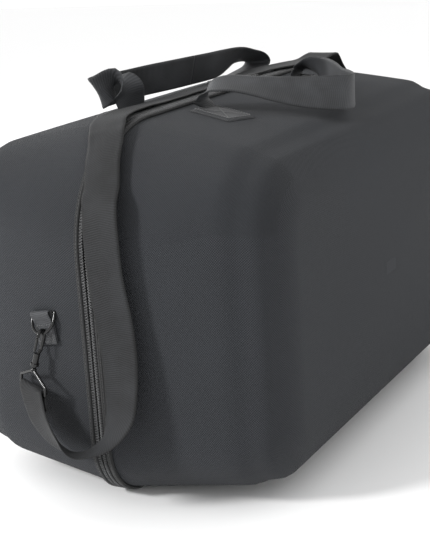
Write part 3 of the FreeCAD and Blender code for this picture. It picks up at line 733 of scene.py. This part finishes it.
BACK_HANDLE = [
    ((-110, 55, 354.5), (0.95, -0.3, 0)),
    ((-110, 54, 359), (0.95, -0.3, 0)),
    ((-113, 53, 367), (0.9, -0.42, 0)),
    ((-118, 52, 376), (0.83, -0.55, -0.05)),
    ((-123, 55, 384), (0.85, -0.3, -0.25)),
    ((-128, 60, 387), (0.81, 0.0, -0.55)),
    ((-134, 63.5, 384.5), (0.55, -0.1, -0.82)),
    ((-139, 67, 381), (0.42, -0.25, -0.87)),
    ((-140, 73, 378), (0.42, -0.3, -0.85)),
    ((-133, 79, 376), (0.4, -0.15, -0.9)),
    ((-117, 81.5, 375.5), (0.35, 0.05, -0.93)),
    ((-90, 82, 375), (0.3, 0.15, -0.95)),
    ((-50, 76, 376), (0.3, 0.2, -0.93)),
    ((5, 68, 376), (0.3, 0.2, -0.93)),
    ((66, 60, 376), (0.36, 0.25, -0.9)),
    ((104, 59, 376), (0.36, 0.35, -0.86)),
    ((138, 60, 377), (0.3, 0.6, -0.74)),
    ((166, 61, 376), (0.15, 0.85, -0.5)),
    ((190, 60, 372.5), (0, 0.95, -0.3)),
    ((203, 60, 366), (0, 1, -0.1)),
    ((194, 61, 360), (0, 1, -0.05)),
    ((162, 62.5, 357), (0, 1, -0.1)),
    ((136, 63, 356), (0, 1, -0.16)),
    ((122, 62, 355.6), (0, 1, -0.16)),
]
STRAP_END = [
    ((-316.9, 56.1, 94.5), (-0.42, -0.8, 0.38)),
    ((-313.6, 61.3, 106.0), (-0.41, -0.89, 0.06)),
    ((-309.6, 63.9, 114.5), (-0.39, -0.91, -0.13)),
    ((-308.5, 64.2, 118.4), (-0.39, -0.91, -0.13)),
    ((-309.2, 64.4, 120.5), (-0.39, -0.91, -0.13)),
    ((-311.1, 65.0, 121.5), (-0.39, -0.91, -0.13)),
    ((-313.0, 66.0, 120.7), (-0.39, -0.91, -0.13)),
    ((-313.7, 66.6, 118.5), (-0.39, -0.91, -0.13)),
    ((-314.7, 65.0, 112.0), (-0.4, -0.91, -0.06)),
    ((-316.4, 62.0, 104.5), (-0.42, -0.88, 0.12)),
    ((-319.0, 57.0, 94.5), (-0.42, -0.8, 0.38)),
    ((-321.5, 48.5, 84.0), (-0.5, -0.7, 0.5)),
    ((-324.5, 36.0, 74.5), (-0.62, -0.56, 0.55)),
    ((-327, 18, 66.5), (-0.82, -0.35, 0.45)),
    ((-327, 0, 68), (-0.9, -0.4, 0.15)),
    ((-324, -16, 77), (-0.7, -0.7, 0.2)),
    ((-321, -28, 92), (-0.4, -0.9, 0.2)),
]
STRAP = STRAP_END + [
    ((-318, -35, 108), (-0.2, -0.95, 0.2)),
    ((-316, -37, 130), (-0.1, -1, 0.15)),
    ((-314, -37, 165), (0.05, -1, 0.1)),
    ((-313, -33, 200), (0.1, -1, 0.1)),
    ((-312, -28, 236), (0, -1, 0.1)),
    ((-311, -26, 271), (0, -1, 0.1)),
    ((-305, -23, 299), (-0.05, -1, 0.05)),
    ((-287, -16, 315), (-0.1, -1, 0)),
    ((-269.5, -8, 333), (-0.15, -1, 0)),
    ((-251.5, -1, 346.5), (-0.2, -1, 0)),
    ((-233, 8, 356.3), (-0.2, -1, 0.05)),
    ((-207, 19, 363), (-0.15, -1, 0.1)),
    ((-165, 25, 364), (0, -1, 0.12)),
    ((-110, 25.5, 363), (0, -1, 0.12)),
    ((-40, 25.5, 363), (0, -1, 0.12)),
    ((30, 25.5, 363), (0, -1, 0.12)),
    ((100, 25, 363.5), (-0.05, -1, 0.1)),
    ((140, 19, 364.8), (-0.15, -1, 0.05)),
    ((180, 6, 365.3), (-0.2, -1, 0)),
    ((215, -5, 366), (-0.1, -1, 0)),
    ((240, -9, 370), (0, -1, 0)),
    ((258, -7, 367), (0, -1, 0)),
    ((271, -8, 352), (0, -1, 0)),
    ((286, -13, 332), (0, -1, 0)),
    ((300, -20, 306), (0, -1, 0)),
    ((312, -26, 276), (0, -1, 0.1)),
    ((313, -31, 238), (0, -1, 0.1)),
    ((313, -35, 200), (-0.1, -1, 0.1)),
    ((314, -37, 165), (-0.05, -1, 0.1)),
    ((316, -37, 130), (0.1, -1, 0.15)),
    ((318, -35, 108), (0.2, -0.95, 0.2)),
] + [((-x, y, z), (-u, v, w)) for (x, y, z), (u, v, w) in reversed(STRAP_END)]
WEB_STEP = 2.5
HANDLE_WIDTH = 35.0


def declare_web(node=None):
    if node:
        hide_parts(node)


def make_front_handle(cloth):
    stations = rail(FRONT_HANDLE, WEB_STEP)
    piece = web_mesh(stations, HANDLE_WIDTH, seed=1.0).build("front_carry_handle", cloth)
    declare_web("front_handle_webbing")
    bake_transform(piece)


def make_back_handle(cloth):
    """Two lengths that meet midway."""
    stations = rail(BACK_HANDLE, WEB_STEP)
    cut = len(stations) // 2
    near, far = stations[:cut + 1], stations[cut:]
    piece = web_mesh(near, HANDLE_WIDTH, seed=2.0).build("back_carry_handle_near", cloth)
    declare_web("back_handle_webbing")
    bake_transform(piece)
    piece = web_mesh(far, HANDLE_WIDTH, seed=2.0).build("back_carry_handle_far", cloth)
    declare_web("back_handle_webbing")
    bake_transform(piece)


def make_strap(cloth):
    stations = rail(STRAP, WEB_STEP)
    cut = len(stations) // 2
    parts = [("near", stations[:cut + 1]), ("far", stations[cut:])]
    for place, part in parts:
        piece = web_mesh(part, WEBBING, seed=4.0).build(f"shoulder_strap_{place}", cloth)
        declare_web()
        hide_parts("shoulder_strap_webbing", f"strap_end_{place}")
        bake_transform(piece)


# ---------------------------------------------------------------- sewn ends
PAD_ACROSS, PAD_ALONG, PAD_LONG, PAD_SLANT = 57.0, 122.0, 54.0, 18.0


def make_pad(side, end, cloth, thread):
    """The handle's sewn end: doubled webbing that follows the wall, with a stitched box and cross."""
    half = "back" if side > 0 else "front"
    place = "near" if end < 0 else "far"
    spin = math.radians(-end * side * PAD_SLANT)

    def on_wall(u, v, height):
        x = end * PAD_ALONG + u * math.cos(spin) - v * math.sin(spin)
        y = side * PAD_ACROSS + u * math.sin(spin) + v * math.cos(spin)
        slope = -side * INSET_TOP / RUN
        return Vector((x, y - slope * height, wall_height(y, x) + height))

    work = Patchwork()
    rows, places = [], []
    half_w, half_l = WEBBING / 2 - 0.5, PAD_LONG / 2
    steps = 24
    for r in range(steps + 1):
        v = -half_l + PAD_LONG * r / steps
        ends = smooth((half_l - abs(v)) / 1.6)
        upper, lower, marks = [], [], []
        for k in range(13):
            u = -half_w + 2 * half_w * k / 12
            edge = smooth((half_w - abs(u)) / 1.4)
            dimple = 0.35 * math.exp(-((abs(u) - half_w + 3.2) / 0.9) ** 2)
            dimple += 0.35 * math.exp(-((abs(v) - half_l + 3.4) / 0.9) ** 2)
            height = 0.7 + 2.1 * edge * ends - dimple
            upper.append(on_wall(u, v, height + 0.12 * noise.noise(Vector((u / 9, v / 9, end * side)))))
            lower.append(on_wall(u, v, 0.1))
            marks.append((u, v))
        rows.append(upper + lower[::-1])
        places.append(marks + marks[::-1] + marks[:1])
    base = work.grid(rows, places, True, True)
    count = len(rows[0])
    work.cap([base + k for k in range(count)])
    work.cap([base + steps * count + k for k in range(count)], flip=True)
    pad = work.build(f"{half}_handle_end_{place}", cloth)
    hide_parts(f"{half}_handle_pad_{place}")
    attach(pad, f"{half}_half")
    sew = Patchwork()
    u, v = half_w - 3.2, half_l - 3.4
    corners = [(-u, -v), (u, -v), (u, v), (-u, v)]
    runs = [(corners[k], corners[(k + 1) % 4]) for k in range(4)]
    runs += [(corners[0], corners[2]), (corners[1], corners[3])]
    for (au, av), (bu, bv) in runs:
        steps = max(3, round(math.hypot(bu - au, bv - av) / 3.3))
        path = []
        for k in range(steps + 1):
            f = k / steps
            path.append(on_wall(au + (bu - au) * f, av + (bv - av) * f, 3.0))
        stitch_line(sew, path, 0.42, share=0.7, lift=Vector((0, 0, 1)))
    stitches = sew.build(f"{half}_handle_stitches_{place}", thread)
    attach(stitches, f"{half}_half")


TAB_UP, TAB_ACROSS, TAB_TILT = 176.0, 52.0, 10.0
TAB_WIDE, TAB_LONG, FOLD = 24.0, 30.0, 3.4


def tab_frame(end):
    """The ring tab's own axes on an end wall: origin, outward, across and up directions."""
    slope = math.atan2(INSET_SIDE, RUN)
    inset = INSET_SIDE * (TAB_ACROSS - RIM) / RUN
    origin = Vector((end * (ZIP_HALF - inset), TAB_ACROSS, TAB_UP))
    turn = Matrix.Rotation(end * slope, 3, "Z")
    if end > 0:
        turn = turn @ Matrix.Rotation(math.pi, 3, "Z")
    turn = turn @ Matrix.Rotation(math.radians(end * TAB_TILT), 3, "X")
    return origin, turn @ Vector((-1, 0, 0)), turn @ Vector((0, 1, 0)), turn @ Vector((0, 0, 1))


def make_ring_tab(end, cloth, thread):
    """Webbing sewn to the end wall, up over the ring's bar and back down."""
    place = "near" if end < 0 else "far"
    origin, out, across, up = tab_frame(end)
    loop = [(1.0, -15), (1.0, -4), (1.0, 7), (1.0, 14)]
    for k in range(1, 8):
        turn = math.pi - math.pi * 1.15 * k / 7
        loop.append((FOLD + 0.1 + 2.6 * math.cos(turn), 15 + 2.6 * math.sin(turn)))
    loop += [(4.4, 10.2), (3.1, 6.5), (2.75, 0), (2.75, -8), (2.75, -15.5)]
    sections = [(origin + out * (o + bow(end * 300, TAB_UP, TAB_ACROSS)) + up * h, across) for o, h in loop]
    stations = rail(sections, 1.2)
    piece = web_mesh(stations, TAB_WIDE, 1.3, 0.1, 5.0).build(f"ring_tab_webbing_{place}", cloth)
    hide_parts(f"ring_tab_{place}")
    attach(piece, "back_half")
    sew = Patchwork()
    level = 3.55 + bow(end * 300, TAB_UP, TAB_ACROSS)
    half = TAB_WIDE / 2 - 2.6
    corners = [(-half, -12.6), (half, -12.6), (half, 4.0), (-half, 4.0)]
    runs = [(corners[k], corners[(k + 1) % 4]) for k in range(4)]
    runs += [(corners[0], corners[2]), (corners[1], corners[3])]
    for a, b in runs:
        steps = max(3, round(math.hypot(b[0] - a[0], b[1] - a[1]) / 2.9))
        path = []
        for k in range(steps + 1):
            f = k / steps
            path.append(origin + out * level + across * (a[0] + (b[0] - a[0]) * f)
                        + up * (a[1] + (b[1] - a[1]) * f))
        stitch_line(sew, path, 0.3, lift=out)
    stitches = sew.build(f"ring_tab_stitches_{place}", thread)
    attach(stitches, "back_half")


# ---------------------------------------------------------------- hinge
def make_hinge(cloth):
    """One band of doubled tape across the hinge line, ribbed along its length."""
    work = Patchwork()
    rows, places = [], []
    levels = [-10.4, -10.0, -9, -8, -6.5, -5, -4, -3, -2.2, -1.6, -1.1, -0.6, 0,
              0.6, 1.1, 1.6, 2.2, 3, 4, 5, 6.5, 8, 9, 10.0, 10.4]
    steps = 160
    for k in range(steps + 1):
        x = -HINGE_HALF + 2 * HINGE_HALF * k / steps
        top = [Vector((x, y, 1.15 - 0.35 * smooth((abs(y) - 9) / 1.4))) for y in levels]
        low = [Vector((x, y, 0.02 + 0.35 * smooth((abs(y) - 9) / 1.4)
                       + 0.12 * (1 - math.cos(2 * math.pi * y / 2.1)) * (abs(y) < 9)))
               for y in levels]
        rows.append(top + low[::-1])
        marks = [(y, x) for y in levels]
        places.append(marks + marks[::-1] + marks[:1])
    base = work.grid(rows, places, True)
    count = len(rows[0])
    work.cap([base + k for k in range(count)], flip=True)
    work.cap([base + steps * count + k for k in range(count)])
    band = work.build("hinge_band_cloth", cloth)
    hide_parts("hinge_band_back", "hinge_band_front")
    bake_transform(band)


def make_hinge_welt(label, cloth):
    """The soft rounded filler behind the hinge band, between the zip's two ends."""
    low, high = (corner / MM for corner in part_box(f"hinge_welt_{label}"))
    middle = (low + high) / 2
    reach = (high - low) / 2
    work = Patchwork()
    rows, places = [], []
    steps, sides = 130, 20
    for k in range(steps + 1):
        x = low.x + 2 * reach.x * k / steps
        ends = math.sqrt(max(0.04, 1 - max(0.0, (abs(x - middle.x) - reach.x + 2.5) / 2.5) ** 2))
        row, marks = [], []
        for c in range(sides + 1):
            turn = 2 * math.pi * c / sides
            y = math.copysign(abs(math.cos(turn)) ** 0.6, math.cos(turn)) * reach.y
            z = math.copysign(abs(math.sin(turn)) ** 0.6, math.sin(turn)) * reach.z
            swell = 0.96 + 0.04 * noise.noise(Vector((x / 14.0, c % sides, 2.0)))
            if c < sides:
                row.append(Vector((x, middle.y + y * swell * ends, middle.z + z * swell * ends)))
            marks.append((c * 1.2, x))
        rows.append(row)
        places.append(marks)
    base = work.grid(rows, places, True, True)
    work.cap([base + k for k in range(sides)])
    work.cap([base + steps * sides + k for k in range(sides)], flip=True)
    welt = work.build(f"hinge_filler_{label}", cloth)
    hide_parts(f"hinge_welt_{label}")
    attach(welt, f"{label}_half")


make_camera()
make_stage()

SHELL = shell_cloth("shell_weave", 0.020, 0.040)
LINING = shell_cloth("shell_lining", 0.014, 0.022, 1.2)
WEB = webbing_cloth("handle_webbing", 0.022, 0.058, 0.42)
# The shoulder strap reuses the handle webbing, made darker: painted shade standing in for the shadow the
# strap lies in.
STRAP_WEB_DARKENED_FOR_SHADE = webbing_cloth("strap_webbing", 0.010, 0.028, 0.6)
TAPE = tape_cloth("zip_tape_weave", 0.010, 0.022)
THREAD = thread_cloth("sewing_thread", 0.085)
METAL = black_metal("black_nickel")
COIL = moulded_plastic("coil_nylon", 0.05, 0.09, 0.25)
BOARD = moulded_plastic("stiffener_board", 0.03, 0.05, 0.6)

for half_side in (1, -1):
    make_shell(half_side, SHELL, LINING)
    make_zip(half_side, TAPE, COIL, THREAD)
    for half_end in (-1, 1):
        make_pad(half_side, half_end, WEB, THREAD)
make_hinge(TAPE)
make_hinge_welt("back", TAPE)
make_hinge_welt("front", TAPE)
make_front_handle(WEB)
make_back_handle(WEB)
make_strap(STRAP_WEB_DARKENED_FOR_SHADE)
for tab_end in (-1, 1):
    make_ring_tab(tab_end, WEB, THREAD)

DRESS = {
    "d_ring": METAL, "snap_hook": METAL, "hook_gate": METAL, "strap_bail": METAL,
    "zip_slider": METAL, "zip_pull": METAL,
    "back_handle_backing": BOARD, "front_handle_backing": BOARD, "ring_tab_backing": BOARD,
}
EDGE_WIDTH = 0.0003
ROUNDED = ("zip_slider", "zip_pull", "back_handle_backing", "front_handle_backing",
           "ring_tab_backing")
for name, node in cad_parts.items():
    for start, material in DRESS.items():
        if name.startswith(start):
            node.data.materials.clear()
            node.data.materials.append(material)
    if name.startswith(ROUNDED):
        edges = node.modifiers.new("rounded_edges", "BEVEL")
        edges.width = EDGE_WIDTH
        edges.segments = 2
        edges.limit_method = "ANGLE"
        edges.angle_limit = math.radians(50)
